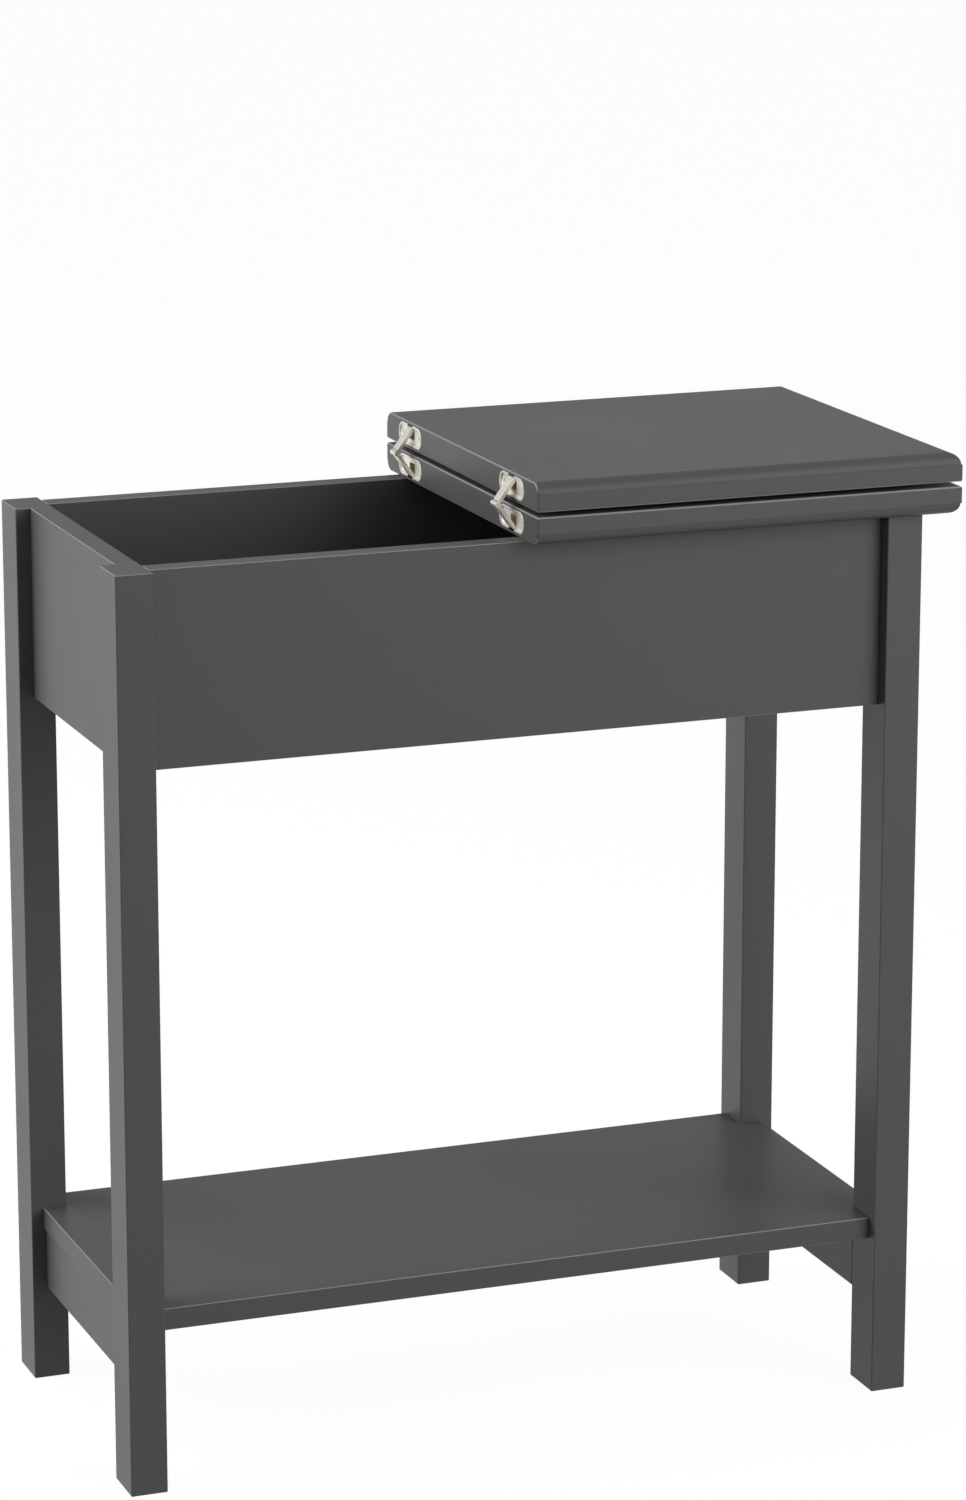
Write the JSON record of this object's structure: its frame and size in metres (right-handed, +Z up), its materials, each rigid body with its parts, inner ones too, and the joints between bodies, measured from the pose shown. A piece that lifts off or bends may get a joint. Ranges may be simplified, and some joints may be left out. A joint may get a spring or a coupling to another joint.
{
  "type": "flip-top end table",
  "caption": "Narrow end table on square legs with a low shelf and a storage box; one half of its top folds over the other on mortised link hinges.",
  "frame": {"origin": "on the floor, at the middle of the folded table's bounding box", "axes": "+Z up, +X towards the free end of the fixed half of the top, +Y towards the back"},
  "size_m": [0.58, 0.286, 0.656],
  "materials": {
    "painted_wood": "satin grey paint on wood and fibreboard",
    "dowel_wood": "plain beech",
    "zinc_fittings": "zinc plated",
    "steel_screws": "black oxide",
    "hinge_cup": "pale satin brass",
    "hinge_link": "satin brass",
    "hinge_pin": "plain"
  },
  "bodies": {
    "base": {"apron_back": "painted_wood", "apron_front": "painted_wood", "apron_left": "painted_wood", "apron_right": "painted_wood", "cam_bolts": "zinc_fittings", "cam_locks": "zinc_fittings", "dowels": "dowel_wood", "hinge_back_cup_fixed": "hinge_cup", "hinge_front_cup_fixed": "hinge_cup", "hinge_set_screws_fixed": "hinge_cup", "leg_back_left": "painted_wood", "leg_back_right": "painted_wood", "leg_front_left": "painted_wood", "leg_front_right": "painted_wood", "shelf": "painted_wood", "shelf_bracket_screws": "steel_screws", "shelf_brackets": "zinc_fittings", "shelf_rail_left": "painted_wood", "shelf_rail_right": "painted_wood", "storage_floor": "painted_wood", "top_bracket_screws": "steel_screws", "top_brackets": "zinc_fittings", "top_fixed_half": "painted_wood"},
    "lid": {"top_lid_half": "painted_wood", "hinge_set_screws_lid": "hinge_cup", "hinge_front_cup_lid": "hinge_cup", "hinge_back_cup_lid": "hinge_cup"},
    "front_links_fixed": {"hinge_front_links_fixed": "hinge_link", "hinge_front_pin_fixed": "hinge_pin", "hinge_front_pin_crossing": "hinge_pin", "hinge_front_pin_slide_fixed": "hinge_pin"},
    "front_links_lid": {"hinge_front_links_lid": "hinge_link", "hinge_front_pin_lid": "hinge_pin", "hinge_front_pin_slide_lid": "hinge_pin"},
    "back_links_fixed": {"hinge_back_links_fixed": "hinge_link", "hinge_back_pin_fixed": "hinge_pin", "hinge_back_pin_crossing": "hinge_pin", "hinge_back_pin_slide_fixed": "hinge_pin"},
    "back_links_lid": {"hinge_back_links_lid": "hinge_link", "hinge_back_pin_lid": "hinge_pin", "hinge_back_pin_slide_lid": "hinge_pin"}
  },
  "joints": [
    {"name": "lid_fold", "type": "hinge", "parent": "base", "child": "lid", "pos_m": [-0.0115, 0, 0.6355], "axis": [0, -1, 0], "range_deg": [0, 180]},
    {"name": "front_links_fixed_turn", "type": "hinge", "parent": "base", "child": "front_links_fixed", "pos_m": [-0.00635, -0.096, 0.64065], "axis": [0, -1, 0], "range_deg": [0, 54]},
    {"name": "front_links_lid_turn", "type": "hinge", "parent": "lid", "child": "front_links_lid", "pos_m": [-0.00635, -0.096, 0.63035], "axis": [0, 1, 0], "range_deg": [0, 54]},
    {"name": "back_links_fixed_turn", "type": "hinge", "parent": "base", "child": "back_links_fixed", "pos_m": [-0.00635, 0.096, 0.64065], "axis": [0, -1, 0], "range_deg": [0, 54]},
    {"name": "back_links_lid_turn", "type": "hinge", "parent": "lid", "child": "back_links_lid", "pos_m": [-0.00635, 0.096, 0.63035], "axis": [0, 1, 0], "range_deg": [0, 54]}
  ],
  "couplings": [
    {"joint": "front_links_fixed_turn", "follows": "lid_fold", "ratio": 0.29889},
    {"joint": "front_links_lid_turn", "follows": "lid_fold", "ratio": 0.29889},
    {"joint": "back_links_fixed_turn", "follows": "lid_fold", "ratio": 0.29889},
    {"joint": "back_links_lid_turn", "follows": "lid_fold", "ratio": 0.29889}
  ]
}
